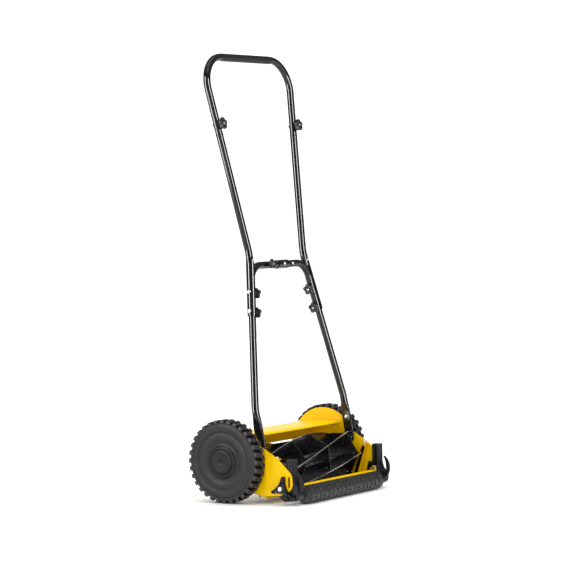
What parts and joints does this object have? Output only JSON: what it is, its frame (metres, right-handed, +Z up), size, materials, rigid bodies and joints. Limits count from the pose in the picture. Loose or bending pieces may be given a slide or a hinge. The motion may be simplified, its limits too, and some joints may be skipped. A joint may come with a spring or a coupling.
{
  "type": "reel mower",
  "caption": "Hand-pushed reel mower with lugged wheels, geared helical cutting reel, bed knife, yellow side plates and guard, rear roller with catcher hooks and a tall bolted tube handle.",
  "frame": {"origin": "on the ground under the middle of the whole machine", "axes": "+X to the right, +Y forward in the mowing direction, +Z up"},
  "size_m": [0.52, 0.3174, 1.1327],
  "materials": {
    "yellow_paint": "gloss",
    "black_paint": "gloss",
    "blade_paint": "satin",
    "wheel_plastic": "matte",
    "black_plastic": "matte",
    "roller_plastic": "matte",
    "gear_plastic": "matte",
    "knob_plastic": "matte",
    "grip_vinyl": "matte",
    "zinc_steel": "satin",
    "knife_steel": "satin"
  },
  "bodies": {
    "chassis": {"left_side_plate": "yellow_paint", "right_side_plate": "yellow_paint", "top_guard": "yellow_paint", "guard_screws": "zinc_steel", "stub_axles": "zinc_steel", "axle_clips": "zinc_steel", "left_reel_bearing": "zinc_steel", "right_reel_bearing": "zinc_steel", "adjuster_screws": "zinc_steel", "knife_pivot_bolts": "zinc_steel", "handle_pivot_bolts": "zinc_steel", "height_bolts": "zinc_steel"},
    "left_wheel_body": {"left_wheel": "wheel_plastic", "left_drive_ring": "gear_plastic", "left_hub_cap": "wheel_plastic"},
    "right_wheel_body": {"right_wheel": "wheel_plastic", "right_drive_ring": "gear_plastic", "right_hub_cap": "wheel_plastic"},
    "reel": {"reel_shaft": "zinc_steel", "left_spider": "blade_paint", "inner_left_spider": "blade_paint", "inner_right_spider": "blade_paint", "right_spider": "blade_paint", "reel_blade_1": "blade_paint", "reel_blade_2": "blade_paint", "reel_blade_3": "blade_paint", "reel_blade_4": "blade_paint", "reel_blade_5": "blade_paint", "reel_blade_6": "blade_paint", "reel_rivets": "zinc_steel", "left_pinion": "gear_plastic", "right_pinion": "gear_plastic"},
    "knife_carrier_body": {"knife_carrier": "yellow_paint", "bed_knife": "knife_steel", "knife_screws": "zinc_steel", "adjuster_links": "black_paint"},
    "roller_frame": {"left_roller_bracket": "black_plastic", "right_roller_bracket": "black_plastic", "tie_bar": "yellow_paint", "tie_bar_screws": "zinc_steel", "roller_axle": "black_paint"},
    "roller_body": {"roller": "roller_plastic"},
    "handle": {"left_leg": "black_paint", "right_leg": "black_paint", "left_middle_tube": "black_paint", "right_middle_tube": "black_paint", "upper_handle": "black_paint", "handle_grip": "grip_vinyl", "clamp_sleeve": "black_paint", "handle_screws": "zinc_steel", "handle_bolts": "zinc_steel"},
    "left_height_knob_body": {"left_height_knob": "black_plastic"},
    "right_height_knob_body": {"right_height_knob": "black_plastic"},
    "left_leg_upper_knob_body": {"left_leg_upper_knob": "knob_plastic"},
    "left_leg_lower_knob_body": {"left_leg_lower_knob": "knob_plastic"},
    "right_leg_upper_knob_body": {"right_leg_upper_knob": "knob_plastic"},
    "right_leg_lower_knob_body": {"right_leg_lower_knob": "knob_plastic"},
    "left_top_knob_body": {"left_top_knob": "knob_plastic"},
    "right_top_knob_body": {"right_top_knob": "knob_plastic"},
    "clamp_knob_body": {"clamp_knob": "knob_plastic"}
  },
  "joints": [
    {"name": "left_wheel_spin", "type": "hinge", "parent": "chassis", "child": "left_wheel_body", "pos_m": [0, 0.05375, 0.105], "axis": [1, 0, 0], "continuous": true},
    {"name": "right_wheel_spin", "type": "hinge", "parent": "chassis", "child": "right_wheel_body", "pos_m": [0, 0.05375, 0.105], "axis": [1, 0, 0], "continuous": true},
    {"name": "reel_spin", "type": "hinge", "parent": "chassis", "child": "reel", "pos_m": [0, -0.00673, 0.08118], "axis": [1, 0, 0], "continuous": true},
    {"name": "bed_knife_adjust", "type": "hinge", "parent": "chassis", "child": "knife_carrier_body", "pos_m": [0, -0.01825, 0.031], "axis": [1, 0, 0], "range_deg": [0, 3]},
    {"name": "cutting_height", "type": "slide", "parent": "chassis", "child": "roller_frame", "axis": [0, 0, 1], "range_m": [-0.014, 0.016]},
    {"name": "roller_spin", "type": "hinge", "parent": "roller_frame", "child": "roller_body", "pos_m": [0, -0.13575, 0.023], "axis": [1, 0, 0], "continuous": true},
    {"name": "handle_swing", "type": "hinge", "parent": "chassis", "child": "handle", "pos_m": [0, -0.03425, 0.128], "axis": [1, 0, 0], "range_deg": [0, 65]},
    {"name": "left_height_knob_turn", "type": "hinge", "parent": "chassis", "child": "left_height_knob_body", "pos_m": [-0.214, -0.10025, 0.042], "axis": [1, 0, 0], "continuous": true},
    {"name": "right_height_knob_turn", "type": "hinge", "parent": "chassis", "child": "right_height_knob_body", "pos_m": [0.214, -0.10025, 0.042], "axis": [1, 0, 0], "continuous": true},
    {"name": "left_leg_upper_knob_turn", "type": "hinge", "parent": "handle", "child": "left_leg_upper_knob_body", "pos_m": [-0.13964, 0.03383, 0.52419], "axis": [-0.9757, 0.0371, 0.216], "continuous": true},
    {"name": "left_leg_lower_knob_turn", "type": "hinge", "parent": "handle", "child": "left_leg_lower_knob_body", "pos_m": [-0.15065, 0.02553, 0.4759], "axis": [-0.9757, 0.0371, 0.216], "continuous": true},
    {"name": "left_top_knob_turn", "type": "hinge", "parent": "handle", "child": "left_top_knob_body", "pos_m": [-0.1728, 0.10682, 0.94897], "axis": [0, -0.9856, 0.1693], "continuous": true},
    {"name": "right_leg_upper_knob_turn", "type": "hinge", "parent": "handle", "child": "right_leg_upper_knob_body", "pos_m": [0.13964, 0.03383, 0.52419], "axis": [0.9757, 0.0371, 0.216], "continuous": true},
    {"name": "right_leg_lower_knob_turn", "type": "hinge", "parent": "handle", "child": "right_leg_lower_knob_body", "pos_m": [0.15065, 0.02553, 0.4759], "axis": [0.9757, 0.0371, 0.216], "continuous": true},
    {"name": "right_top_knob_turn", "type": "hinge", "parent": "handle", "child": "right_top_knob_body", "pos_m": [0.1728, 0.10682, 0.94897], "axis": [0, -0.9856, 0.1693], "continuous": true},
    {"name": "clamp_knob_turn", "type": "hinge", "parent": "handle", "child": "clamp_knob_body", "pos_m": [-0.052, 0.04517, 0.59023], "axis": [0, -0.9856, 0.1693], "continuous": true}
  ],
  "couplings": [
    {"joint": "right_wheel_spin", "follows": "left_wheel_spin", "ratio": 1},
    {"joint": "reel_spin", "follows": "left_wheel_spin", "ratio": 5.3333}
  ]
}
